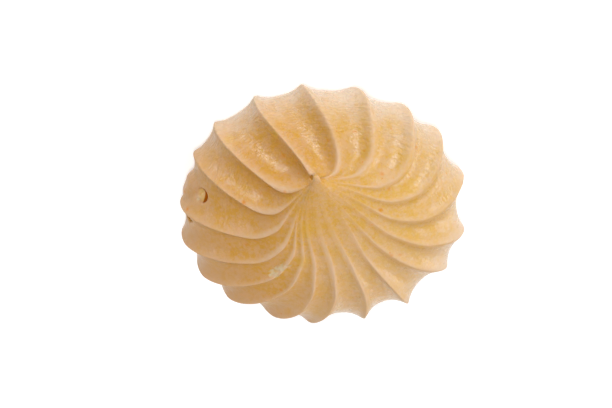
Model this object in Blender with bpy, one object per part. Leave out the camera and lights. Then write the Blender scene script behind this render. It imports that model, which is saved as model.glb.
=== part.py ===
"""Meringue cookie: one piped swirl with eighteen ridges, a round foot and a peak that has flopped over.

The crest of every ridge follows the same profile from the tip down to the foot.
The rings of that profile are carried along a bent stalk, and the flutes are hollowed between the crests.
Sizes are in millimetres and degrees; the finished solid is in metres with +Z up.
"""

import math

import bpy
import numpy as np

# Crest profile, from the tip down to the foot
RIM_RADIUS = 25.0        # widest ring of the swirl
RIM_HEIGHT = 7.0         # height of the widest ring
DOME_HEIGHT = 15.5       # height the rounded body would have without a peak
PEAK_HEIGHT = 2.5        # peak above the body
PEAK_SPREAD = 2.0        # how quickly the peak runs out into the body
FOOT_RADIUS = 19.0       # ring that stands on the tray
TUCK_ANGLE = 65.0        # how far the side curls in under the rim
DEPTH_RATIO = 0.945      # front to back size over side to side size
PROFILE_STEPS = 400      # points along the top and along the side of the profile

# Bent stalk: how far the rings stand off the axis, to the side and to the back
TIP_SHIFT = (-2.0, -9.4)
NECK_SHIFT = (-5.7, 2.85)
FOOT_CENTRE = (-3.7, 4.0)    # measured from the middle of the foot
TIP_ENDS = 0.46              # share of the way to the foot at which the shift of the tip has run out
TIP_EASE = (0.58, 0.38)      # the lower, the sooner it runs out
NECK_ENDS = 0.39             # the shift of the neck runs out between these shares
FOOT_STARTS = 0.97

# Ridges, counted clockwise seen from above, starting with the one straight in front
RIDGES = 18
FIRST_HEADING = -86.0
CROWDING = 16.0          # ridges stand wide apart at the front and crowd together at the back
CROWDING_HEADING = -85.0
PAIRING = 4.4            # second, weaker unevenness in the spacing
PAIRING_HEADING = -96.0
REACH_GAIN = 0.14        # ridges reach further out on the side the nozzle leaned to
REACH_HEADING = 120.0
SWEEP_GAIN = -15.0       # sideways sweep of a ridge between the shoulder and the rim
SWEEP_HEADING = 12.0
SWEEP_PIVOT = 0.6        # share of the rim radius at which a swept ridge is on its own heading
HOOK_STARTS = 0.55       # a hooked ridge turns aside between these shares of the way to the foot
HOOK_ENDS = 0.85
TWIST_GAIN = -39.0       # turn of the ridges near the tip, where the nozzle was pulled away
TWIST_HEADING = 39.0
TWIST_ENDS = 0.30        # share of the way to the foot at which that turn has run out

# What the hand did to single ridges, by number: degrees, and shares of the radius
STRAY_HEADING = {0: -1.0, 1: 1.8, 3: 1.3, 5: -1.3, 8: 1.3, 11: -1.3, 13: 0.8, 16: 1.3, 17: -2.0}
STRAY_SWEEP = {
    1: -7.0, 3: 5.5, 4: 6.5, 5: -3.5, 7: -3.5, 8: -3.0,
    10: 14.0, 11: 3.5, 13: -4.0, 15: -9.5, 16: 3.0, 17: 12.0,
}
STRAY_REACH = {
    0: -0.04, 1: -0.02, 2: -0.01, 4: -0.01, 5: -0.015, 6: -0.02, 7: -0.015, 8: -0.03,
    9: -0.025, 10: -0.01, 11: 0.015, 12: 0.02, 13: 0.005, 14: -0.02, 15: -0.04, 16: -0.025, 17: -0.035,
}
STRAY_HOOK = {0: 2.5, 9: -3.0, 10: -8.5, 11: -5.0, 12: -5.0, 13: -3.5}
STRAY_TWIST = {7: 21.0, 8: 2.5, 9: 2.2, 10: -7.2, 11: -9.8, 12: -15.0, 13: 8.2, 14: 1.3}

# Flutes between the ridges, as a share of the distance between two crests, and how much single ones differ
FLUTE_STATIONS = (0.0, 0.12, 0.28, 0.42, 0.75, 1.0)
FLUTE_SHARES = (0.0, 0.02, 0.12, 0.24, 0.20, 0.08)
STRAY_FLUTE = {0: 1.15, 1: 1.15, 2: 1.1, 5: 0.85, 7: 1.2, 16: 1.2, 17: 1.3}
EARLY_GAIN = 0.9         # flutes open nearer the tip at the front, and further out at the back
EARLY_HEADING = -62.0
EARLY_ENDS = 0.50
FLUTE_FULLNESS = 2.3     # 2 hollows a flute like a parabola, more makes it rounder with steeper sides
LEAN = 0.75              # how much the bottom of a flute lies aside, towards the next ridge
LEAN_ENDS = 0.44         # share of the way to the foot at which the lean has run out, later on one side
LEAN_GAIN = 0.18
LEAN_HEADING = 0.0
ROUNDING_STATIONS = (0.1, 0.45)
CREST_ROUNDING = (0.6, 0.07)    # crests are soft near the peak and crisp from the shoulder on

# Blemishes: share of the way to the foot, place among the ridges, radius, depth
DENTS = (
    (0.683, 14.40, 2.4, 1.3),    # popped bubble on the shoulder
    (0.725, 13.72, 1.9, 1.0),    # crevice where two ridges meet at the rim
    (0.395, 12.10, 2.5, 0.5),    # chipped crest
    (0.699, 16.12, 1.8, 0.3),    # shallow dimple near the front rim
    (0.820, 14.36, 3.3, -0.9),   # rim puffed up beside the popped bubble
)
DENT_SLOPE = 0.67        # share of a blemish's radius that its sloping side takes up

# Facets
RINGS = 26
FIRST_RING = 0.015       # share of the way to the foot; the tip closes above it
TIP_RISE = 0.1
STEPS_PER_RIDGE = 9
SHARP_ANGLE = 60.0       # edges sharper than this keep their crease

MM = 0.001
SLOPE_STEP = 0.001       # share over which a slope down a ridge is measured
SLOPE_SPAN = 0.4         # part of a ridge on each side of a flute's middle for a slope across it
ROUND_OFF = 1e-9


def smooth_step(value):
    """Ease from 0 to 1."""
    value = np.clip(value, 0.0, 1.0)
    return value * value * (3.0 - 2.0 * value)


def crest_profile(fractions):
    """Radius and height of the crest at fractions of the way from the tip to the foot."""
    top = np.radians(np.linspace(0.0, 90.0, PROFILE_STEPS))
    radius = RIM_RADIUS * np.sin(top)
    height = RIM_HEIGHT + (DOME_HEIGHT - RIM_HEIGHT) * np.cos(top)
    height = height + PEAK_HEIGHT * np.exp(-radius / PEAK_SPREAD)
    end = math.radians(TUCK_ANGLE)
    curl = np.linspace(0.0, end, PROFILE_STEPS)[1:]
    tucked = (np.cos(curl) - math.cos(end)) / (1.0 - math.cos(end))
    radius = np.append(radius, FOOT_RADIUS + (RIM_RADIUS - FOOT_RADIUS) * tucked)
    height = np.append(height, RIM_HEIGHT * (1.0 - np.sin(curl) / math.sin(end)))
    steps = np.hypot(np.diff(radius), np.diff(height))
    travelled = np.append(0.0, np.cumsum(steps))
    travelled = travelled / travelled[-1]
    return np.interp(fractions, travelled, radius), np.interp(fractions, travelled, height)


def ridge_table():
    """Heading, extra reach, sweep, hook and twist of each ridge, with the first one repeated at the end."""
    rows = []
    for index in range(RIDGES):
        nominal = FIRST_HEADING - index * 360.0 / RIDGES
        heading = nominal + CROWDING * math.sin(math.radians(nominal - CROWDING_HEADING))
        heading -= PAIRING * math.cos(2.0 * math.radians(nominal - PAIRING_HEADING))
        heading += STRAY_HEADING.get(index, 0.0)
        reach = REACH_GAIN * math.cos(math.radians(heading - REACH_HEADING)) + STRAY_REACH.get(index, 0.0)
        sweep = SWEEP_GAIN * math.cos(math.radians(heading - SWEEP_HEADING)) + STRAY_SWEEP.get(index, 0.0)
        twist = TWIST_GAIN * math.cos(math.radians(heading - TWIST_HEADING)) + STRAY_TWIST.get(index, 0.0)
        rows.append((heading, reach, sweep, STRAY_HOOK.get(index, 0.0), twist))
    rows.append((rows[0][0] - 360.0,) + rows[0][1:])
    return np.array(rows)


def envelope(fractions, places):
    """Points of the smooth skin that touches every crest; places count ridges around the swirl."""
    radius, height = crest_profile(fractions)
    raised = 1.0 - smooth_step((fractions - NECK_ENDS) / (FOOT_STARTS - NECK_ENDS))
    table = ridge_table()
    around = np.mod(places, RIDGES)
    columns = (np.interp(around, np.arange(RIDGES + 1), column) for column in table.T)
    heading, reach, sweep, hook, twist = columns
    share = (radius / RIM_RADIUS)[:, None]
    hooked = smooth_step((fractions - HOOK_STARTS) / (HOOK_ENDS - HOOK_STARTS))[:, None]
    twisted = (1.0 - smooth_step(fractions / TWIST_ENDS))[:, None]
    angle = np.radians(heading + sweep * (share - SWEEP_PIVOT) + hook * hooked + twist * twisted)
    arm = radius[:, None] * (1.0 + reach * share)
    reaches = (arm * np.cos(angle), arm * np.sin(angle) * DEPTH_RATIO)
    points = np.empty(angle.shape + (3,))
    for axis in range(2):
        neck = smooth_step(fractions / TIP_ENDS) ** TIP_EASE[axis]
        centre = (1.0 - neck) * TIP_SHIFT[axis] + neck * raised * NECK_SHIFT[axis] - FOOT_CENTRE[axis]
        points[..., axis] = centre[:, None] + reaches[axis]
    points[..., 2] = height[:, None]
    return points


def outward(fractions, places):
    """Unit normals of the smooth skin."""
    inner = np.clip(fractions - SLOPE_STEP, 0.0, 1.0)
    outer = np.clip(fractions + SLOPE_STEP, 0.0, 1.0)
    down = envelope(outer, places) - envelope(inner, places)
    middle = np.floor(places + ROUND_OFF) + 0.5
    around = envelope(fractions, middle + SLOPE_SPAN) - envelope(fractions, middle - SLOPE_SPAN)
    normal = np.cross(around, down)
    length = np.linalg.norm(normal, axis=2, keepdims=True)
    return normal / np.maximum(length, ROUND_OFF)


def flute_share(fractions, places):
    """Depth of the flutes over the distance between two crests."""
    gains = np.array([STRAY_FLUTE.get(int(place) % RIDGES, 1.0) for place in places + ROUND_OFF])
    headings = np.interp(np.mod(places, RIDGES), np.arange(RIDGES + 1), ridge_table()[:, 0])
    early = EARLY_GAIN * np.cos(np.radians(headings - EARLY_HEADING))[None, :]
    inner = 1.0 - smooth_step(fractions / EARLY_ENDS)[:, None]
    usual = np.interp(fractions, FLUTE_STATIONS, FLUTE_SHARES)[:, None]
    return usual * gains[None, :] * (1.0 + early * inner)


def flute_hollow(fractions, places):
    """0 on the crests and 1 along the deepest line of the flutes."""
    headings = np.interp(np.mod(places, RIDGES), np.arange(RIDGES + 1), ridge_table()[:, 0])
    ends = LEAN_ENDS + LEAN_GAIN * np.cos(np.radians(headings - LEAN_HEADING))
    lean = LEAN * smooth_step(2.0 - 2.0 * fractions[:, None] / ends[None, :])
    share = (places - np.floor(places + ROUND_OFF))[None, :]
    share = share - lean * share * (1.0 - share)
    across = 1.0 - np.abs(2.0 * share - 1.0) ** FLUTE_FULLNESS
    rounding = np.interp(fractions, ROUNDING_STATIONS, CREST_ROUNDING)[:, None]
    hollow = np.sqrt(across ** 2 + rounding ** 2) - rounding
    return hollow / (np.sqrt(1.0 + rounding ** 2) - rounding)


def dent_depth(points):
    """Depth of the blemishes at each point."""
    depth = np.zeros(points.shape[:2])
    for fraction, place, radius, amount in DENTS:
        centre = envelope(np.array((fraction,)), np.array((place,)))[0, 0]
        distance = np.linalg.norm(points - centre, axis=2)
        depth += amount * smooth_step((1.0 - distance / radius) / DENT_SLOPE)
    return depth


def swirl_points(fractions, places):
    """Points of the finished surface: the skin with a rounded hollow between each two crests."""
    skin = envelope(fractions, places)
    start = np.floor(places + ROUND_OFF)
    width = np.linalg.norm(envelope(fractions, start + 1.0) - envelope(fractions, start), axis=2)
    depth = flute_share(fractions, places) * width * flute_hollow(fractions, places) + dent_depth(skin)
    push = outward(fractions, places)
    push[-1, :, 2] = 0.0
    return skin - push * depth[..., None]


def solid_mesh(name, points):
    """Close the rings of points into one solid with a flat base."""
    rings, steps = points.shape[:2]
    vertices = [tuple(point) for point in points.reshape(-1, 3)]
    faces = []
    for ring in range(rings - 1):
        for step in range(steps):
            following = (step + 1) % steps
            a = ring * steps + step
            b = ring * steps + following
            faces.append((a, b, b + steps, a + steps))
    tip = len(vertices)
    vertices.append(tuple(points[0].mean(axis=0) + np.array((0.0, 0.0, TIP_RISE * MM))))
    for step in range(steps):
        faces.append((tip, (step + 1) % steps, step))
    base = (rings - 1) * steps
    faces.append(tuple(base + step for step in range(steps)))
    mesh = bpy.data.meshes.new(name)
    mesh.from_pydata(vertices, [], faces)
    mesh.validate()
    mesh.update()
    return mesh


def sugar_crust():
    """Pale caramel meringue crust."""
    material = bpy.data.materials.new("sugar_crust")
    material.use_nodes = True
    shader = material.node_tree.nodes["Principled BSDF"]
    shader.inputs["Base Color"].default_value = (0.68, 0.42, 0.18, 1.0)
    shader.inputs["Roughness"].default_value = 0.55
    shader.inputs["Metallic"].default_value = 0.0
    return material


def main():
    """Build the cookie."""
    for item in list(bpy.data.objects):
        bpy.data.objects.remove(item)
    fractions = np.linspace(FIRST_RING, 1.0, RINGS)
    places = np.arange(RIDGES * STEPS_PER_RIDGE) / STEPS_PER_RIDGE
    points = swirl_points(fractions, places) * MM
    cookie = bpy.data.objects.new("meringue", solid_mesh("meringue", points))
    cookie.data.shade_smooth()
    cookie.data.set_sharp_from_angle(angle=math.radians(SHARP_ANGLE))
    cookie.data.materials.append(sugar_crust())
    bpy.context.scene.collection.objects.link(cookie)


main()
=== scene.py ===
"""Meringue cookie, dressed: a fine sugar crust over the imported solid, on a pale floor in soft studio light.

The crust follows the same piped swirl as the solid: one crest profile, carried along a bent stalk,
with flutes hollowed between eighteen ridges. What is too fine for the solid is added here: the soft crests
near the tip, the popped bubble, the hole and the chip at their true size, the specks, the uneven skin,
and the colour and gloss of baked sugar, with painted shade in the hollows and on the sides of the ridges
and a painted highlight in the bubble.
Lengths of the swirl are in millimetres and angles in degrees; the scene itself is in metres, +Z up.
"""

import math

import bpy
import numpy as np
from mathutils import Matrix, Vector, noise


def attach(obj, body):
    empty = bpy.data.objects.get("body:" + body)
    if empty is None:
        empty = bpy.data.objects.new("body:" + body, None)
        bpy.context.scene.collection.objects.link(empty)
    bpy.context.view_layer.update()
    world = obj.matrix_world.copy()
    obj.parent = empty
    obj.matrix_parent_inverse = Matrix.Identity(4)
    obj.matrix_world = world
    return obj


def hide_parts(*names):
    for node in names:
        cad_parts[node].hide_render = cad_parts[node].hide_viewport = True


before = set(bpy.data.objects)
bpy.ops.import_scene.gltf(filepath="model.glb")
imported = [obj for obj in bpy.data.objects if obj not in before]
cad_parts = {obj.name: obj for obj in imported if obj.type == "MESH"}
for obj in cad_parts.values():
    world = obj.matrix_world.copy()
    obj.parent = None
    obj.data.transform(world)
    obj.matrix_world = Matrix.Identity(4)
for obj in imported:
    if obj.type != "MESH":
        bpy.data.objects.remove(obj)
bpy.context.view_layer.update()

MM = 0.001

# Camera: it stands on the side that the peak leans to, held upside down, so that side is at the picture's top
CAMERA_DISTANCE = 0.6
CAMERA_ELEVATION = 60.0
CAMERA_ROLL = 180.0
CAMERA_AIM = (0.0033, -0.0004, 0.006)
SENSOR_WIDTH = 36.0
VIEW_WIDTH = 0.10775          # how much is seen from side to side at the cookie

# Light: a high soft key and a small spot on the camera's side, two low fills at the picture's right,
# one from behind the cookie, and dim white surroundings
LIGHTS = (
    # name, azimuth, elevation, strength, how wide it looks from the cookie, whether it shows in the gloss
    ("key", -75.0, 57.0, 1.64, 36.0, True),
    ("spot", -92.0, 70.0, 0.60, 8.0, True),
    ("side", -121.0, 9.0, 1.50, 40.0, False),
    ("right", 155.0, 20.0, 0.90, 30.0, True),
    ("back", 98.0, 38.0, 0.90, 40.0, False),
)
WORLD_STRENGTH = 0.12
FLOOR_HALF = 2.0
FLOOR_GLOW = 0.22             # keeps the floor nearly white, as if lit from below
FLOOR_ROUGHNESS = 0.9

# Crest profile, from the tip down to the foot
RIM_RADIUS = 25.0        # widest ring of the swirl
RIM_HEIGHT = 7.0         # height of the widest ring
DOME_HEIGHT = 15.5       # height the rounded body would have without a peak
PEAK_HEIGHT = 2.5        # peak above the body
PEAK_SPREAD = 2.0        # how quickly the peak runs out into the body
FOOT_RADIUS = 19.0       # ring that stands on the tray
TUCK_ANGLE = 65.0        # how far the side curls in under the rim
DEPTH_RATIO = 0.945      # front to back size over side to side size
TOP_STEPS = 600          # points along the top of the profile
TUCK_STEPS = 200         # and along the side that curls in

# Bent stalk: how far the rings stand off the axis, to the side and to the back
TIP_SHIFT = (-2.0, -9.4)
NECK_SHIFT = (-5.7, 2.85)
FOOT_CENTRE = (-3.7, 4.0)    # measured from the middle of the foot
TIP_ENDS = 0.46              # share of the way to the foot at which the shift of the tip has run out
TIP_EASE = (0.58, 0.38)      # the lower, the sooner it runs out
NECK_ENDS = 0.39             # the shift of the neck runs out between these shares
FOOT_STARTS = 0.97

# Ridges, counted clockwise seen from above, starting with the one straight in front
RIDGES = 18
FIRST_HEADING = -86.0
CROWDING = 16.0          # ridges stand wide apart at the front and crowd together at the back
CROWDING_HEADING = -85.0
PAIRING = 4.4            # second, weaker unevenness in the spacing
PAIRING_HEADING = -96.0
REACH_GAIN = 0.14        # ridges reach further out on the side the nozzle leaned to
REACH_HEADING = 120.0
SWEEP_GAIN = -15.0       # sideways sweep of a ridge between the shoulder and the rim
SWEEP_HEADING = 12.0
SWEEP_PIVOT = 0.6        # share of the rim radius at which a swept ridge is on its own heading
HOOK_STARTS = 0.55       # a hooked ridge turns aside between these shares of the way to the foot
HOOK_ENDS = 0.85
TWIST_GAIN = -39.0       # turn of the ridges near the tip, where the nozzle was pulled away
TWIST_HEADING = 39.0
TWIST_ENDS = 0.30        # share of the way to the foot at which that turn has run out

# What the hand did to single ridges, by number: degrees, and shares of the radius
STRAY_HEADING = {0: -1.0, 1: 1.8, 3: 1.3, 5: -1.3, 8: 1.3, 11: -1.3, 13: 0.8, 16: 1.3, 17: -2.0}
STRAY_SWEEP = {
    1: -7.0, 3: 5.5, 4: 6.5, 5: -3.5, 7: -3.5, 8: -3.0,
    10: 14.0, 11: 3.5, 13: -4.0, 15: -9.5, 16: 3.0, 17: 12.0,
}
STRAY_REACH = {
    0: -0.04, 1: -0.02, 2: -0.01, 4: -0.01, 5: -0.015, 6: -0.02, 7: -0.015, 8: -0.03,
    9: -0.025, 10: -0.01, 11: 0.015, 12: 0.02, 13: 0.005, 14: -0.02, 15: -0.04, 16: -0.025, 17: -0.035,
}
STRAY_HOOK = {0: 2.5, 9: -3.0, 10: -8.5, 11: -5.0, 12: -5.0, 13: -3.5}
STRAY_TWIST = {7: 21.0, 8: 2.5, 9: 2.2, 10: -7.2, 11: -9.8, 12: -15.0, 13: 8.2, 14: 1.3}

# Flutes between the ridges, as a share of the distance between two crests, and how much single ones differ
FLUTE_STATIONS = (0.0, 0.12, 0.28, 0.42, 0.75, 1.0)
FLUTE_SHARES = (0.0, 0.02, 0.12, 0.24, 0.20, 0.08)
STRAY_FLUTE = {0: 1.15, 1: 1.15, 2: 1.1, 5: 0.85, 7: 1.2, 16: 1.2, 17: 1.3}
EARLY_GAIN = 0.9         # flutes open nearer the tip at the front, and further out at the back
EARLY_HEADING = -62.0
EARLY_ENDS = 0.50
FLUTE_FULLNESS = 2.3     # 2 hollows a flute like a parabola, more makes it rounder with steeper sides
LEAN = 0.75              # how much the bottom of a flute lies aside, towards the next ridge
LEAN_ENDS = 0.44         # share of the way to the foot at which the lean has run out, later on one side
LEAN_GAIN = 0.18
LEAN_HEADING = 0.0
ROUNDING_STATIONS = (0.1, 0.45)
CREST_ROUNDING = (0.6, 0.07)    # crests are soft near the peak and crisp from the shoulder on

# Finer than in the solid: faint flutes go on up the neck, and the crests run together at the tip
NECK_FLUTE_SHARE = 0.04           # of the distance between two crests
NECK_FLUTE_FULL = 0.12            # share of the way to the foot at which these have their full depth
SOFT_ENDS = 0.30                  # share of the way at which the crests are crisp
SOFT_STEPS = 14                   # steps of the mesh over which a soft crest is spread
# On the side with this heading the paste was softer, and the crests stay round further down
ROUND_HEADING = -150.0
ROUND_BREADTH = 1.6               # at 1 they are fully round only at that heading
ROUND_STEPS = 5
ROUND_ENDS = (0.50, 0.85)         # shares of the way over which this fades

# Broad blemishes: share of the way to the foot, place among the ridges, radius, depth
DENTS = (
    (0.699, 16.12, 1.2, 0.3),     # shallow dimple near the front rim
    (0.820, 14.36, 2.2, -0.9),    # rim puffed up beside the popped bubble
    (0.150, 0.10, 1.0, -0.35),    # paste heaped where the first ridge joins the tip
)
# Fine ones, with the same shares and places
BUBBLE = (0.680, 14.42)           # popped bubble
BUBBLE_LENGTH = 2.7
BUBBLE_WIDTH = 3.0
BUBBLE_TURN = 38.0                # from lying straight across the ridges
BUBBLE_DEPTH = 1.5
BUBBLE_DROP = 0.2                 # share of its width in which the steep side drops
BUBBLE_RISE = 0.6                 # share of its width in which the other side rises
BUBBLE_WALL = 0.45                # share of its width that is caramel and painted shade
BUBBLE_WALL_SLANT = 0.08          # how much narrower this is at one end and wider at the other
BUBBLE_WALL_FADE = 0.14           # share of its width over which the caramel and painted shade fade inside
BUBBLE_LIP_STARTS = -0.02         # where the caramel and painted shade start at the steep side, and how fast they come up
BUBBLE_LIP_FADE = 0.06
BUBBLE_ENDS = 2.5                 # how suddenly the caramel and painted shade stop at both ends
CREVICES = (
    # share, place, radius, depth, darkness of the painted shade inside
    (0.736, 13.74, 0.80, 0.6, 1.0),     # hole where two ridges meet at the rim
    (0.712, 13.78, 0.60, 0.4, 0.8),     # its narrow end
    (0.262, 16.98, 0.45, 0.3, 0.55),    # fold beside the tip
)
CREVICE_GAIN = 1.3                # how far out their edges lie, without the lumps
CREVICE_RAGGED = 1.5              # how much the lumps shift the edges
CREVICE_CUT = 0.2                 # how much of a fading edge is cut off
RAGGED_SIZE = 0.5                 # lumps in these edges and in the floor of the chip
CHIP = (0.395, 12.18)             # rough chip along a crest
CHIP_LENGTH = 4.5
CHIP_WIDTH = 1.7
CHIP_DEPTH = 0.30
CHIP_EVEN = 0.8                   # share of this depth that doesn't depend on the lumps in its floor
CHIP_EDGE_SIZE = 0.6              # lumps in its edge
CHIP_RAGGED = 0.9                 # how much these shift the edge
CHIP_EDGE = 0.35                  # how wide the edge is; both are shares of the chip's half length and width
NUB_HEIGHT = 0.3
# Spots: share, place, radius, strength
NUB = (0.010, 5.5, 0.8, 1.0)          # rounded end of the last thread of paste
PAINTED_GLINT = (0.691, 14.32, 0.30, 1.0)     # pale spot painted in the popped bubble as its highlight
# Caramel specks
SPECKS = (
    (0.784, 14.25, 0.26, 0.7), (0.719, 14.07, 0.32, 0.7), (0.553, 0.57, 0.30, 0.8),
    (0.487, 15.05, 0.34, 0.9), (0.491, 16.68, 0.40, 0.6), (0.589, 16.32, 0.28, 0.4),
    (0.321, 2.33, 0.34, 0.6), (0.244, 3.75, 0.34, 0.8), (0.473, 13.60, 0.42, 0.4),
    (0.505, 17.85, 0.28, 0.6), (0.295, 16.02, 0.30, 0.5), (0.435, 15.50, 0.28, 0.6),
    (0.471, 11.15, 0.30, 0.5), (0.331, 5.97, 0.28, 0.6), (0.355, 5.78, 0.24, 0.5),
    (0.361, 1.65, 0.34, 0.7), (0.585, 2.17, 0.30, 0.7),
)
# Yellow spots, where the egg foam was thinner
YOLKS = (
    (0.699, 16.12, 0.95, 0.4), (0.459, 4.53, 0.55, 0.8), (0.601, 16.93, 0.70, 0.6), (0.291, 11.03, 1.3, 0.5),
    (0.178, 10.20, 1.6, 0.5), (0.417, 5.12, 0.40, 0.6), (0.621, 0.17, 0.50, 0.4),
)

# Painted shade, brown, on one side of the ridges, in the flute that ends at the ridge and in the one that
# starts there: heading where this is strongest, strength
RIDGE_SHADE_SIDES = ((-36.0, 0.60), (165.0, 0.35))
RIDGE_SHADE_FROM = 0.45               # shares of the flute at which the painted shade starts and at which it is full
RIDGE_SHADE_TO = 0.85
RIDGE_SHADE_ENDS = 0.5                # share of the way to the foot from which it fades again
RIDGE_SHADE_FADE = 0.25               # share over which it comes up from the tip and fades

# Uneven skin: size and height of the lumps
LUMPS = ((5.0, 0.10), (1.8, 0.035))
SMOOTH_TIP = 0.1                  # shares of the way over which the lumps fade at the tip and at the foot
SMOOTH_FOOT = 0.05

# Colours of the baked sugar, linear
PALE_CRUST = (0.675, 0.430, 0.200, 1.0)
PALE_OCHRE = (0.660, 0.390, 0.085, 1.0)
BROWN_CRUST = (0.620, 0.345, 0.140, 1.0)
BROWN_OCHRE = (0.605, 0.310, 0.045, 1.0)
FRECKLE = (0.62, 0.215, 0.006, 1.0)
YOLK = (0.64, 0.36, 0.045, 1.0)
CREST = (0.66, 0.455, 0.30, 1.0)
RIM = (0.68, 0.515, 0.37, 1.0)
BROWN_RIM = (0.575, 0.35, 0.19, 1.0)
# brown painted shade on the sides of the ridges and in the crevices
PAINTED_SHADE_BROWN = (0.50, 0.23, 0.035, 1.0)
# colour of the chip, and of the highlight painted in the bubble
CHIP_AND_GLINT = (0.66, 0.52, 0.32, 1.0)
INSIDE = (0.72, 0.47, 0.16, 1.0)
# caramel brown of the popped bubble's steep wall, darkened as painted shade
CARAMEL_AND_SHADE = (0.36, 0.095, 0.0015, 1.0)
# dark painted shade deep in the crevices
CREVICE_SHADE = (0.15, 0.073, 0.006, 1.0)
WHITE = (1.0, 1.0, 1.0, 1.0)
FLOOR = (0.95, 0.95, 0.95, 1.0)

# Noise in the material: lumps to a metre, detail, roughness
PATCHES = (350.0, 3.0, 0.6)
GRAINS = (1400.0, 3.0, 0.75)
RIM_EDGE = (420.0, 3.0, 0.7)
FLAKES = (1500.0, 2.0, 0.5)
WAX = (500.0, 3.0, 0.6)
RIPPLES = (2200.0, 2.0, 0.5)
SUGAR_GRAIN = (1500.0, 4.0, 0.6)
FRECKLES_PER_METRE = 620.0

# Ramps in the material: from, to, and the values there where these aren't 0 and 1. Those along x and y
# and towards the darker side are in metres, and those down the ridges in shares of the way to the foot
DARKER_SIDE_Y = 0.5               # how much a metre along y counts towards the darker side; along x it is 1
MOTTLE = (0.78, 1.22)             # patches and grains added
BROWNER_X = (-0.018, 0.014)
PALER_X = (0.008, -0.004)         # a little paler far off on the other side
PALER_Y = (-0.004, 0.010)
PALER_SHARE = 0.25
CREST_UP = (0.50, 0.0, 0.0, 0.70)             # from the bottom of a flute, 1, to the crest, 0
CREST_STARTS = (0.08, 0.30)                   # down the ridges
CREST_FADES = (0.35, 0.60, 1.0, 0.6)
CREST_SOFTENS_X = (-0.004, -0.014, 1.0, 0.6)
RIM_DOWN = (0.50, 0.88)
RIM_RAGGED = (0.3, 0.7, -0.05, 0.05)          # what is added down the ridges, so that the edge wanders
RIM_FURTHER_IN = (-0.004, -0.018, 0.0, 0.08)  # added as well, away from the darker side
RIM_FURTHER_IN_Y = (-0.012, 0.016, -0.06, 0.05)
RIM_BROWNS = (0.006, 0.020)                   # towards the darker side
FRECKLE_SIZE = (0.14, 0.05)
FRECKLE_STRENGTH = (0.45, 1.0, 0.0, 0.7)
SPECK_STRENGTH = 0.9
NUB_PALENESS = 0.3
INSIDE_SHOWS = (0.1, 0.5)                     # over the hollow of the bubble
# caramel and painted shade on the bubble's wall
WALL_SHADE_SHOWS = (0.0, 0.6)
FLAKED = (0.3, 0.6, 0.3, 0.9)
# painted shade in the crevices: brown, then dark further in
CREVICE_BROWNS = (0.0, 0.5)
CREVICE_DARKENS = (0.3, 1.0)

# Gloss: the same kind of ramps
WAXY = (0.3, 0.7, 0.18, 0.34)
DRY_CREST = (0.6, 0.05, 0.0, 0.4)             # from the bottom of a flute, 1, to the crest, 0
DRY_SIDE = (0.003, 0.012, 0.0, 0.14)          # towards the darker side
DULL = (0.0, 0.6, 0.5, 0.05)                  # less gloss on the bubble's wall and in the crevices, where shade is painted
SUBSURFACE = 0.25
SUBSURFACE_RADIUS = (1.0, 0.55, 0.25)
SUBSURFACE_SCALE = 0.0006

# Relief, in metres
RIPPLE_DEPTH = 0.00026
RIPPLE_STRETCH = 0.35             # size of a ripple along a flute over its size across the flute
CREST_LENGTH = 0.036              # tip to foot, for the spacing of the ripples
RIPPLES_FRONT_Y = (0.004, -0.010, 0.35, 1.0)
RIPPLES_DOWN = (0.38, 0.62, 0.1, 1.0)
GRAIN_DEPTH = 0.00012
GRAIN_STRENGTH = 0.9

# Mesh: rings from the tip to the foot, and steps on each ridge
RINGS = 158
FIRST_RING = 0.003                # share of the way to the foot; the tip closes above it
TIP_RISE = 0.05                   # how far above it
FINE_RINGS_FROM = 0.62            # rings and steps lie closer around the bubble and the crevice
FINE_RINGS_TO = 0.76
FINE_RINGS = 2.0                  # how many times as close
RING_SAMPLES = 2000
STEPS_PER_RIDGE = 28
FINE_STEPS = {13: 44, 14: 60}
CREST_CROWDING = 0.35             # steps lie closer on the crests
BASE_RINGS = 6

SLOPE_STEP = 0.001                # share over which a slope down a ridge is measured
SLOPE_SPAN = 0.4                  # part of a ridge on each side of a flute's middle for a slope across it
SPOT_STEP = 0.01                  # share and part of a ridge over which directions at a spot are measured
WIDTH_SPAN = 0.999                # part of a ridge over which its width is measured: nearly to the next
ROUND_OFF = 1e-9


def smooth_step(value):
    """Ease from 0 to 1."""
    value = np.clip(value, 0.0, 1.0)
    return value * value * (3.0 - 2.0 * value)


def crest_profile(fractions):
    """Radius and height of the crest at fractions of the way from the tip to the foot."""
    top = np.radians(np.linspace(0.0, 90.0, TOP_STEPS))
    radius = RIM_RADIUS * np.sin(top)
    height = RIM_HEIGHT + (DOME_HEIGHT - RIM_HEIGHT) * np.cos(top)
    height = height + PEAK_HEIGHT * np.exp(-radius / PEAK_SPREAD)
    end = math.radians(TUCK_ANGLE)
    curl = np.linspace(0.0, end, TUCK_STEPS)[1:]
    tucked = (np.cos(curl) - math.cos(end)) / (1.0 - math.cos(end))
    radius = np.append(radius, FOOT_RADIUS + (RIM_RADIUS - FOOT_RADIUS) * tucked)
    height = np.append(height, RIM_HEIGHT * (1.0 - np.sin(curl) / math.sin(end)))
    steps = np.hypot(np.diff(radius), np.diff(height))
    travelled = np.append(0.0, np.cumsum(steps))
    share = travelled / travelled[-1]
    return np.interp(fractions, share, radius), np.interp(fractions, share, height)


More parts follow.
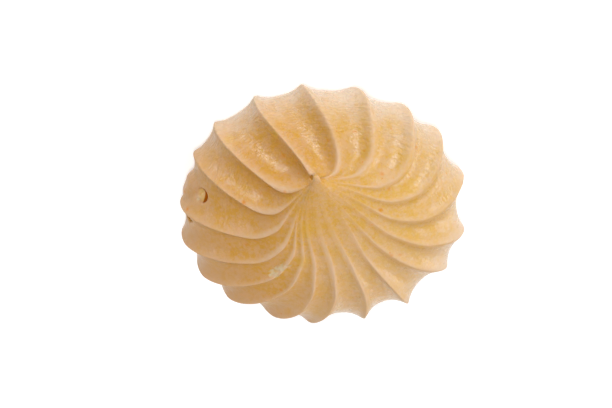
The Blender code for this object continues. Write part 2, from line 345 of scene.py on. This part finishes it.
def ridge_table():
    """Heading, extra reach, sweep, hook and twist of each ridge, with the first one repeated at the end."""
    rows = []
    for index in range(RIDGES):
        nominal = FIRST_HEADING - index * 360.0 / RIDGES
        heading = nominal + CROWDING * math.sin(math.radians(nominal - CROWDING_HEADING))
        heading -= PAIRING * math.cos(2.0 * math.radians(nominal - PAIRING_HEADING))
        heading += STRAY_HEADING.get(index, 0.0)
        reach = REACH_GAIN * math.cos(math.radians(heading - REACH_HEADING)) + STRAY_REACH.get(index, 0.0)
        sweep = SWEEP_GAIN * math.cos(math.radians(heading - SWEEP_HEADING)) + STRAY_SWEEP.get(index, 0.0)
        twist = TWIST_GAIN * math.cos(math.radians(heading - TWIST_HEADING)) + STRAY_TWIST.get(index, 0.0)
        rows.append((heading, reach, sweep, STRAY_HOOK.get(index, 0.0), twist))
    rows.append((rows[0][0] - 360.0,) + rows[0][1:])
    return np.array(rows)


def ridge_headings(places):
    """Heading of each place around the swirl."""
    return np.interp(np.mod(places, RIDGES), np.arange(RIDGES + 1), ridge_table()[:, 0])


def envelope(fractions, places):
    """Points of the smooth skin that touches every crest; places count ridges around the swirl."""
    radius, height = crest_profile(fractions)
    raised = 1.0 - smooth_step((fractions - NECK_ENDS) / (FOOT_STARTS - NECK_ENDS))
    table = ridge_table()
    around = np.mod(places, RIDGES)
    columns = (np.interp(around, np.arange(RIDGES + 1), column) for column in table.T)
    heading, reach, sweep, hook, twist = columns
    share = (radius / RIM_RADIUS)[:, None]
    hooked = smooth_step((fractions - HOOK_STARTS) / (HOOK_ENDS - HOOK_STARTS))[:, None]
    twisted = (1.0 - smooth_step(fractions / TWIST_ENDS))[:, None]
    angle = np.radians(heading + sweep * (share - SWEEP_PIVOT) + hook * hooked + twist * twisted)
    arm = radius[:, None] * (1.0 + reach * share)
    reaches = (arm * np.cos(angle), arm * np.sin(angle) * DEPTH_RATIO)
    points = np.empty(angle.shape + (3,))
    for axis in range(2):
        neck = smooth_step(fractions / TIP_ENDS) ** TIP_EASE[axis]
        centre = (1.0 - neck) * TIP_SHIFT[axis] + neck * raised * NECK_SHIFT[axis] - FOOT_CENTRE[axis]
        points[..., axis] = centre[:, None] + reaches[axis]
    points[..., 2] = height[:, None]
    return points


def outward(fractions, places):
    """Unit normals of the smooth skin."""
    inner = np.clip(fractions - SLOPE_STEP, 0.0, 1.0)
    outer = np.clip(fractions + SLOPE_STEP, 0.0, 1.0)
    down = envelope(outer, places) - envelope(inner, places)
    middle = np.floor(places + ROUND_OFF) + 0.5
    around = envelope(fractions, middle + SLOPE_SPAN) - envelope(fractions, middle - SLOPE_SPAN)
    normal = np.cross(around, down)
    length = np.linalg.norm(normal, axis=2, keepdims=True)
    return normal / np.maximum(length, ROUND_OFF)


def flute_lean(fractions, places):
    """How much the bottom of a flute lies aside, towards the next ridge."""
    ends = LEAN_ENDS + LEAN_GAIN * np.cos(np.radians(ridge_headings(places) - LEAN_HEADING))
    return LEAN * smooth_step(2.0 - 2.0 * fractions[:, None] / ends[None, :])


def flute_hollow(fractions, places):
    """0 on the crests and 1 along the deepest line of the flutes."""
    share = (places - np.floor(places + ROUND_OFF))[None, :]
    share = share - flute_lean(fractions, places) * share * (1.0 - share)
    across = 1.0 - np.abs(2.0 * share - 1.0) ** FLUTE_FULLNESS
    rounding = np.interp(fractions, ROUNDING_STATIONS, CREST_ROUNDING)[:, None]
    hollow = np.sqrt(across ** 2 + rounding ** 2) - rounding
    return hollow / (np.sqrt(1.0 + rounding ** 2) - rounding)


def flute_share(fractions, places):
    """Depth of the flutes over the distance between two crests."""
    gains = np.array([STRAY_FLUTE.get(int(place) % RIDGES, 1.0) for place in places + ROUND_OFF])
    early = EARLY_GAIN * np.cos(np.radians(ridge_headings(places) - EARLY_HEADING))[None, :]
    inner = 1.0 - smooth_step(fractions / EARLY_ENDS)[:, None]
    usual = np.interp(fractions, FLUTE_STATIONS, FLUTE_SHARES)[:, None]
    least = NECK_FLUTE_SHARE * smooth_step(fractions / NECK_FLUTE_FULL)[:, None]
    return np.maximum(usual * gains[None, :] * (1.0 + early * inner), least)


def fluted_skin(fractions, places):
    """The smooth skin with its flutes, and the directions that point out of it, level at the foot."""
    start = np.floor(places + ROUND_OFF)
    width = np.linalg.norm(envelope(fractions, start + WIDTH_SPAN) - envelope(fractions, start), axis=2)
    depth = flute_share(fractions, places) * width * flute_hollow(fractions, places)
    push = outward(fractions, places)
    push[fractions == 1.0, :, 2] = 0.0
    return envelope(fractions, places) - push * depth[..., None], push


def skin_point(fraction, place):
    """Point of the fluted skin at a share of the way to the foot and a place."""
    return fluted_skin(np.array((fraction,)), np.array((place,)))[0][0, 0]


def local_offsets(points, spot):
    """Offsets from a spot of the skin: across the ridges, clockwise; down along them; and out of the skin."""
    centre = skin_point(*spot)
    across = skin_point(spot[0], spot[1] + SPOT_STEP) - centre
    down = skin_point(spot[0] + SPOT_STEP, spot[1]) - centre
    across = across / np.linalg.norm(across)
    down = down - across * float(down @ across)
    down = down / np.linalg.norm(down)
    offset = points - centre
    return offset @ across, offset @ down, offset @ np.cross(across, down)


def lumps(points, size):
    """Smooth noise at each point, from about -1 to 1, with lumps of this size."""
    values = [noise.noise(Vector(point / size)) for point in points.reshape(-1, 3)]
    return np.array(values).reshape(points.shape[:2])


def bubble_marks(points):
    """Hollow of the popped bubble, 0 to 1, and how much caramel and painted shade its steep wall shows."""
    across, down, out = local_offsets(points, BUBBLE)
    turn = math.radians(BUBBLE_TURN)
    along = across * math.cos(turn) + down * math.sin(turn)
    down = down * math.cos(turn) - across * math.sin(turn)
    length = along / (BUBBLE_LENGTH / 2.0)
    edge = np.sqrt(np.clip(1.0 - length ** 2, 0.0, 1.0))
    share = (down / (BUBBLE_WIDTH / 2.0) + edge) / np.maximum(2.0 * edge, ROUND_OFF)
    inside = (np.abs(length) < 1.0) & (np.abs(out) < BUBBLE_LENGTH)
    rise = 1.0 - smooth_step((share - 1.0 + BUBBLE_RISE) / BUBBLE_RISE)
    hollow = edge * smooth_step(share / BUBBLE_DROP) * rise * inside
    upper = smooth_step((share - BUBBLE_LIP_STARTS) / BUBBLE_LIP_FADE)
    lower = 1.0 - smooth_step((share - BUBBLE_WALL + BUBBLE_WALL_SLANT * length) / BUBBLE_WALL_FADE)
    return hollow, upper * lower * smooth_step(edge * BUBBLE_ENDS) * inside


def chip_marks(points):
    """1 on the chip along a crest, easing to 0 around its ragged edge."""
    across, down, out = local_offsets(points, CHIP)
    distance = np.hypot(down / (CHIP_LENGTH / 2.0), across / (CHIP_WIDTH / 2.0))
    inside = 1.0 - distance + CHIP_RAGGED * lumps(points, CHIP_EDGE_SIZE)
    return smooth_step(inside / CHIP_EDGE) * (np.abs(out) < CHIP_LENGTH)


def spot_marks(points, spots):
    """Strongest of several round spots at each point; one fades from half its radius to one and a half."""
    marks = np.zeros(points.shape[:2])
    for fraction, place, radius, strength in spots:
        distance = np.linalg.norm(points - skin_point(fraction, place), axis=2)
        marks = np.maximum(marks, strength * smooth_step(1.5 - distance / radius))
    return marks


def crevice_marks(points, ragged):
    """Depth of the crevices with their ragged edges, and how dark their painted shade is, 0 to 1."""
    deep = np.zeros(ragged.shape)
    dark = np.zeros(ragged.shape)
    for fraction, place, radius, depth, darkness in CREVICES:
        mark = spot_marks(points, ((fraction, place, radius, 1.0),))
        mark = smooth_step(mark * (CREVICE_GAIN + CREVICE_RAGGED * ragged) - CREVICE_CUT)
        deep += depth * mark
        dark = np.maximum(dark, darkness * mark)
    return deep, dark


def painted_ridge_shade(fractions, places):
    """How much brown painted shade lies on the sides of the ridges, 0 to 1."""
    share = places - np.floor(places + ROUND_OFF)
    brown = np.zeros(places.shape)
    for (strongest, strength), side in zip(RIDGE_SHADE_SIDES, (share, 1.0 - share)):
        facing = np.clip(np.cos(np.radians(ridge_headings(places) - strongest)), 0.0, 1.0) ** 2
        brown += strength * facing * smooth_step((side - RIDGE_SHADE_FROM) / (RIDGE_SHADE_TO - RIDGE_SHADE_FROM))
    brown[share < ROUND_OFF] = 0.0
    starts = smooth_step(fractions / RIDGE_SHADE_FADE)
    ends = 1.0 - smooth_step((fractions - RIDGE_SHADE_ENDS) / RIDGE_SHADE_FADE)
    return (starts * ends)[:, None] * brown[None, :]


def lump_height(points, fractions):
    """Height of the uneven skin at each point."""
    height = sum(amount * lumps(points, size) for size, amount in LUMPS)
    ends = smooth_step(np.minimum(fractions / SMOOTH_TIP, (1.0 - fractions) / SMOOTH_FOOT))
    return height * ends[:, None]


def smoothed(points, steps, share):
    """Points drawn by a share towards the mean of their neighbours in the ring."""
    shifts = range(-steps, steps + 1)
    mean = sum(np.roll(points, shift, axis=1) for shift in shifts) / len(shifts)
    return points + (mean - points) * share[..., None]


def run_together(points, fractions, places):
    """Softens the crests near the tip, where the last of the paste ran together, and on the softer side."""
    tip = np.broadcast_to(1.0 - smooth_step(fractions / SOFT_ENDS)[:, None], points.shape[:2])
    points = smoothed(points, SOFT_STEPS, tip)
    side = smooth_step(ROUND_BREADTH * np.cos(np.radians(ridge_headings(places) - ROUND_HEADING)))
    upper = 1.0 - smooth_step((fractions - ROUND_ENDS[0]) / (ROUND_ENDS[1] - ROUND_ENDS[0]))
    return smoothed(points, ROUND_STEPS, upper[:, None] * side[None, :])


def ring_fractions():
    """Fractions of the rings, closer together around the bubble and the crevice."""
    samples = np.linspace(0.0, 1.0, RING_SAMPLES)
    middle = (FINE_RINGS_FROM + FINE_RINGS_TO) / 2.0
    half = (FINE_RINGS_TO - FINE_RINGS_FROM) / 2.0
    density = 1.0 + (FINE_RINGS - 1.0) * smooth_step(2.0 - np.abs(samples - middle) / half)
    total = np.cumsum(density)
    total = (total - total[0]) / (total[-1] - total[0])
    return np.interp(np.linspace(FIRST_RING, 1.0, RINGS), total, samples)


def step_places():
    """Places of the steps around a ring, closer together on the crests."""
    places = []
    for index in range(RIDGES):
        count = FINE_STEPS.get(index, STEPS_PER_RIDGE)
        share = np.arange(count) / count
        places.append(index + share - CREST_CROWDING * np.sin(2.0 * np.pi * share) / (2.0 * np.pi))
    return np.concatenate(places)


def crust_points(fractions, places):
    """Points of the crust, and what the material needs to know at each of them."""
    body, push = fluted_skin(fractions, places)
    body = run_together(body, fractions, places)
    ragged = lumps(body, RAGGED_SIZE)
    hollow, wall = bubble_marks(body)
    chip = chip_marks(body)
    nub = spot_marks(body, (NUB,))
    deep, dark = crevice_marks(body, ragged)
    deep += BUBBLE_DEPTH * hollow + CHIP_DEPTH * chip * (CHIP_EVEN + ragged)
    for fraction, place, radius, depth in DENTS:
        deep += depth * spot_marks(body, ((fraction, place, radius, 1.0),))
    lift = lump_height(body, fractions) + NUB_HEIGHT * nub
    marks = {
        "flute": flute_hollow(fractions, places),
        "reach": np.broadcast_to(fractions[:, None], nub.shape),
        "freckle": spot_marks(body, SPECKS),
        "yolk": spot_marks(body, YOLKS),
        "caramel_and_shade": wall,
        # caramel colour and painted shade on the bubble's steep wall
        "hollow": hollow,
        # how dark the painted shade in the crevices is
        "crevice": dark,
        # the chip, and the highlight painted in the bubble
        "chip": np.maximum(chip, spot_marks(body, (PAINTED_GLINT,))),
        "nub": nub,
        # painted shade on the sides of the ridges
        "ridge_shade": painted_ridge_shade(fractions, places),
    }
    return body + push * (lift - deep)[..., None], marks


def closed_mesh(name, points):
    """One closed mesh of rings of points, with a last point for each end; points are in millimetres."""
    rings, steps = points.shape[:2]
    ends = (points[0].mean(axis=0) + np.array((0.0, 0.0, TIP_RISE)), np.zeros(3))
    vertices = np.concatenate([points.reshape(-1, 3), np.stack(ends)]) * MM
    ring = np.arange(rings - 1)[:, None] * steps
    step = np.arange(steps)[None, :]
    following = (step + 1) % steps
    quads = np.stack([ring + step, ring + following, ring + following + steps, ring + step + steps], axis=-1)
    faces = quads.reshape(-1, 4).tolist()
    tip = rings * steps
    last = tip - steps
    faces += [(tip, (index + 1) % steps, index) for index in range(steps)]
    faces += [(tip + 1, last + index, last + (index + 1) % steps) for index in range(steps)]
    mesh = bpy.data.meshes.new(name)
    mesh.from_pydata(vertices.tolist(), [], faces)
    return mesh


def store_mark(mesh, name, values):
    """Keeps a mark on the mesh; the base gets its mean at the foot, and the tip that of the first ring."""
    stored = np.full(len(mesh.vertices), float(values[-1].mean()))
    stored[:values.size] = values.ravel()
    stored[-2] = float(values[0].mean())
    mesh.attributes.new(name, "FLOAT", "POINT").data.foreach_set("value", stored.astype(np.float32))


def crust_mesh(name):
    """The rings of the crust and a flat base, with the marks for the material."""
    points, marks = crust_points(ring_fractions(), step_places())
    shares = np.linspace(1.0, 0.0, BASE_RINGS + 2)[1:-1]
    base = np.stack([points[-1] * share for share in shares])
    mesh = closed_mesh(name, np.concatenate([points, base]))
    for mark, values in marks.items():
        store_mark(mesh, mark, values)
    mesh.validate()
    mesh.shade_smooth()
    mesh.update()
    return mesh


class Nodes:
    """Short calls that add and join the nodes of one material."""

    def __init__(self, name):
        self.material = bpy.data.materials.new(name)
        self.material.use_nodes = True
        self.tree = self.material.node_tree
        self.shader = self.tree.nodes["Principled BSDF"]

    def add(self, kind, **settings):
        """A node with its properties set."""
        node = self.tree.nodes.new(kind)
        for key, value in settings.items():
            setattr(node, key, value)
        return node

    def put(self, socket, value):
        """Joins a socket to another, or gives it a value."""
        if isinstance(value, bpy.types.NodeSocket):
            self.tree.links.new(value, socket)
        else:
            socket.default_value = value

    def mark(self, name):
        """A value stored on the mesh."""
        return self.add("ShaderNodeAttribute", attribute_name=name).outputs["Fac"]

    def axes(self, place):
        """The three coordinates of a place."""
        node = self.add("ShaderNodeSeparateXYZ")
        self.put(node.inputs[0], place)
        return node.outputs

    def join(self, operation, first, *others):
        """Several values added or multiplied."""
        for other in others:
            node = self.add("ShaderNodeMath", operation=operation)
            self.put(node.inputs[0], first)
            self.put(node.inputs[1], other)
            first = node.outputs[0]
        return first

    def spread(self, value, low, high, start=0.0, end=1.0):
        """Maps low to high onto start to end, eased and clamped."""
        node = self.add("ShaderNodeMapRange", interpolation_type="SMOOTHSTEP")
        for socket, amount in zip(node.inputs, (value, low, high, start, end)):
            self.put(socket, amount)
        return node.outputs[0]

    def mix(self, share, first, second):
        """Blends two colours."""
        node = self.add("ShaderNodeMix", data_type="RGBA")
        self.put(node.inputs[0], share)
        self.put(node.inputs[6], first)
        self.put(node.inputs[7], second)
        return node.outputs[2]

    def noise(self, coordinates, per_metre, detail, roughness):
        """Noise with so many lumps to a metre."""
        node = self.add("ShaderNodeTexNoise")
        self.put(node.inputs["Vector"], coordinates)
        self.put(node.inputs["Scale"], per_metre)
        self.put(node.inputs["Detail"], detail)
        self.put(node.inputs["Roughness"], roughness)
        return node.outputs["Fac"]

    def bump(self, height, distance, strength, below=None):
        """Turns a height from 0 to 1 into a bumped normal; distance is in metres."""
        node = self.add("ShaderNodeBump")
        self.put(node.inputs["Height"], height)
        self.put(node.inputs["Distance"], distance)
        self.put(node.inputs["Strength"], strength)
        if below is not None:
            self.put(node.inputs["Normal"], below)
        return node.outputs["Normal"]


def shaded_side(nodes, place):
    """How far a place lies towards the darker side, in metres."""
    x, y, _ = nodes.axes(place)
    return nodes.join("ADD", x, nodes.join("MULTIPLY", y, DARKER_SIDE_Y))


def baked_sugar(nodes, place):
    """Cream mottled with ochre, browner on one side, and a little paler far off on the other."""
    x, y, _ = nodes.axes(place)
    patches = nodes.noise(place, *PATCHES)
    grains = nodes.noise(place, *GRAINS)
    mottle = nodes.spread(nodes.join("ADD", patches, grains), *MOTTLE)
    pale = nodes.mix(mottle, PALE_CRUST, PALE_OCHRE)
    brown = nodes.mix(mottle, BROWN_CRUST, BROWN_OCHRE)
    colour = nodes.mix(nodes.spread(x, *BROWNER_X), pale, brown)
    paler = nodes.join("MULTIPLY", nodes.spread(y, *PALER_Y), nodes.spread(x, *PALER_X), PALER_SHARE)
    return nodes.mix(paler, colour, CREST)


def crest_share(nodes, place):
    """How pale the crests are: not at the tip, most on the shoulder, and less on the softer side."""
    x = nodes.axes(place)[0]
    reach = nodes.mark("reach")
    near_crest = nodes.spread(nodes.mark("flute"), *CREST_UP)
    off_the_tip = nodes.spread(reach, *CREST_STARTS)
    off_the_rim = nodes.spread(reach, *CREST_FADES)
    harder = nodes.spread(x, *CREST_SOFTENS_X)
    return nodes.join("MULTIPLY", near_crest, off_the_tip, off_the_rim, harder)


def rim_share(nodes, place):
    """How pale the rim is; its ragged edge is further in on the bright and far sides."""
    ragged = nodes.spread(nodes.noise(place, *RIM_EDGE), *RIM_RAGGED)
    bright = nodes.spread(shaded_side(nodes, place), *RIM_FURTHER_IN)
    far = nodes.spread(nodes.axes(place)[1], *RIM_FURTHER_IN_Y)
    return nodes.spread(nodes.join("ADD", nodes.mark("reach"), ragged, bright, far), *RIM_DOWN)


def freckles(nodes, place):
    """Small specks scattered at random, each with its own strength."""
    cells = nodes.add("ShaderNodeTexVoronoi")
    nodes.put(cells.inputs["Vector"], place)
    nodes.put(cells.inputs["Scale"], FRECKLES_PER_METRE)
    dots = nodes.spread(cells.outputs["Distance"], *FRECKLE_SIZE)
    strength = nodes.add("ShaderNodeSeparateColor")
    nodes.put(strength.inputs[0], cells.outputs["Color"])
    return nodes.join("MULTIPLY", dots, nodes.spread(strength.outputs[0], *FRECKLE_STRENGTH))


def blemished(nodes, place, colour):
    """The colour with spots, specks, bubble and chip, and painted shade and a painted highlight on it."""
    # painted shade on the sides of the ridges
    colour = nodes.mix(nodes.mark("ridge_shade"), colour, PAINTED_SHADE_BROWN)
    colour = nodes.mix(nodes.join("MULTIPLY", nodes.mark("nub"), NUB_PALENESS), colour, RIM)
    colour = nodes.mix(nodes.mark("yolk"), colour, YOLK)
    colour = nodes.mix(nodes.join("MULTIPLY", nodes.mark("freckle"), SPECK_STRENGTH), colour, FRECKLE)
    colour = nodes.mix(freckles(nodes, place), colour, FRECKLE)
    colour = nodes.mix(nodes.spread(nodes.mark("hollow"), *INSIDE_SHOWS), colour, INSIDE)
    # caramel colour and painted shade on the bubble's steep wall
    colour = nodes.mix(nodes.spread(nodes.mark("caramel_and_shade"), *WALL_SHADE_SHOWS), colour, CARAMEL_AND_SHADE)
    flaked = nodes.spread(nodes.noise(place, *FLAKES), *FLAKED)
    # the chip, and the highlight painted in the bubble
    colour = nodes.mix(nodes.join("MULTIPLY", nodes.mark("chip"), flaked), colour, CHIP_AND_GLINT)
    # painted shade in the crevices
    colour = nodes.mix(nodes.spread(nodes.mark("crevice"), *CREVICE_BROWNS), colour, PAINTED_SHADE_BROWN)
    return nodes.mix(nodes.spread(nodes.mark("crevice"), *CREVICE_DARKENS), colour, CREVICE_SHADE)


def crust_colour(nodes, place):
    """Ochre in the flutes, paler on the crests and the rim, with blemishes and painted shade and highlight.
    """
    colour = nodes.mix(crest_share(nodes, place), baked_sugar(nodes, place), CREST)
    rim = nodes.mix(nodes.spread(shaded_side(nodes, place), *RIM_BROWNS), RIM, BROWN_RIM)
    colour = nodes.mix(rim_share(nodes, place), colour, rim)
    return blemished(nodes, place, colour)


def crust_roughness(nodes, place):
    """Waxy in the flutes, drier on the crests and on the darker side."""
    waxy = nodes.spread(nodes.noise(place, *WAX), *WAXY)
    crests = nodes.spread(nodes.mark("flute"), *DRY_CREST)
    darker = nodes.spread(shaded_side(nodes, place), *DRY_SIDE)
    return nodes.join("ADD", waxy, crests, darker)


def drag_ripples(nodes, place):
    """Fine wavy lines across the flutes, where the paste dragged in the nozzle."""
    x, y, _ = nodes.axes(place)
    joined = nodes.add("ShaderNodeCombineXYZ")
    nodes.put(joined.inputs[0], nodes.join("MULTIPLY", x, RIPPLE_STRETCH))
    nodes.put(joined.inputs[1], nodes.join("MULTIPLY", y, RIPPLE_STRETCH))
    nodes.put(joined.inputs[2], nodes.join("MULTIPLY", nodes.mark("reach"), CREST_LENGTH))
    return nodes.noise(joined.outputs[0], *RIPPLES)


def crust_relief(nodes, place):
    """Ripples, deepest in front and near the rim, with the grain of the sugar over them."""
    front = nodes.spread(nodes.axes(place)[1], *RIPPLES_FRONT_Y)
    outer = nodes.spread(nodes.mark("reach"), *RIPPLES_DOWN)
    ripples = nodes.bump(drag_ripples(nodes, place), RIPPLE_DEPTH, nodes.join("MULTIPLY", front, outer))
    return nodes.bump(nodes.noise(place, *SUGAR_GRAIN), GRAIN_DEPTH, GRAIN_STRENGTH, ripples)


def crust_material():
    """Baked sugar crust: waxy, softly glossy, with a fine grain."""
    nodes = Nodes("sugar_crust_fine")
    place = nodes.add("ShaderNodeTexCoord").outputs["Object"]
    sockets = nodes.shader.inputs
    nodes.put(sockets["Base Color"], crust_colour(nodes, place))
    nodes.put(sockets["Roughness"], crust_roughness(nodes, place))
    nodes.put(sockets["Normal"], crust_relief(nodes, place))
    # the bubble's wall and the crevices, where shade is painted, get little gloss
    shaded_hollows = nodes.join("ADD", nodes.mark("caramel_and_shade"), nodes.mark("crevice"))
    nodes.put(sockets["Specular IOR Level"], nodes.spread(shaded_hollows, *DULL))
    nodes.put(sockets["Subsurface Weight"], SUBSURFACE)
    nodes.put(sockets["Subsurface Radius"], SUBSURFACE_RADIUS)
    nodes.put(sockets["Subsurface Scale"], SUBSURFACE_SCALE)
    return nodes.material


def add_object(name, data):
    """Links a new object to the scene."""
    item = bpy.data.objects.new(name, data)
    bpy.context.scene.collection.objects.link(item)
    return item


def add_cookie():
    """The crust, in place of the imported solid."""
    crust = add_object("meringue_crust", crust_mesh("meringue_crust"))
    crust.data.materials.append(crust_material())
    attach(crust, "root")
    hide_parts("meringue")


def add_camera():
    """A long lens looking down at the cookie from the side its peak leans to."""
    data = bpy.data.cameras.new("camera")
    data.sensor_width = SENSOR_WIDTH
    data.lens = SENSOR_WIDTH * CAMERA_DISTANCE / VIEW_WIDTH
    camera = add_object("camera", data)
    elevation = math.radians(CAMERA_ELEVATION)
    back = Vector((0.0, -math.cos(elevation), math.sin(elevation)))
    turn = (-back).to_track_quat("-Z", "Y").to_matrix().to_4x4()
    roll = Matrix.Rotation(math.radians(CAMERA_ROLL), 4, "Z")
    camera.matrix_world = Matrix.Translation(Vector(CAMERA_AIM) + back * CAMERA_DISTANCE) @ turn @ roll
    bpy.context.scene.camera = camera


def add_light(name, azimuth, elevation, strength, width, glossy):
    """A soft distant light; azimuth 0 is at +X and -90 at -Y."""
    data = bpy.data.lights.new(name, "SUN")
    data.energy = strength
    data.angle = math.radians(width)
    light = add_object(name, data)
    light.visible_glossy = glossy
    turn, rise = math.radians(azimuth), math.radians(elevation)
    back = Vector((math.cos(turn) * math.cos(rise), math.sin(turn) * math.cos(rise), math.sin(rise)))
    light.rotation_euler = (-back).to_track_quat("-Z", "Y").to_euler()


def add_floor():
    """Plain pale floor, which is no part of the cookie."""
    mesh = bpy.data.meshes.new("floor")
    corners = [(-FLOOR_HALF, -FLOOR_HALF, 0.0), (FLOOR_HALF, -FLOOR_HALF, 0.0)]
    corners += [(FLOOR_HALF, FLOOR_HALF, 0.0), (-FLOOR_HALF, FLOOR_HALF, 0.0)]
    mesh.from_pydata(corners, [], [(0, 1, 2, 3)])
    nodes = Nodes("floor")
    sockets = nodes.shader.inputs
    nodes.put(sockets["Base Color"], FLOOR)
    nodes.put(sockets["Roughness"], FLOOR_ROUGHNESS)
    nodes.put(sockets["Specular IOR Level"], 0.0)
    nodes.put(sockets["Emission Color"], WHITE)
    nodes.put(sockets["Emission Strength"], FLOOR_GLOW)
    mesh.materials.append(nodes.material)
    item = add_object("floor", mesh)


def add_surroundings():
    """Dim white light from all sides."""
    world = bpy.data.worlds.new("surroundings")
    world.use_nodes = True
    background = world.node_tree.nodes["Background"]
    background.inputs["Color"].default_value = WHITE
    background.inputs["Strength"].default_value = WORLD_STRENGTH
    bpy.context.scene.world = world


add_camera()
add_cookie()
add_floor()
add_surroundings()
for light in LIGHTS:
    add_light(*light)
bpy.context.scene.view_settings.view_transform = "Standard"
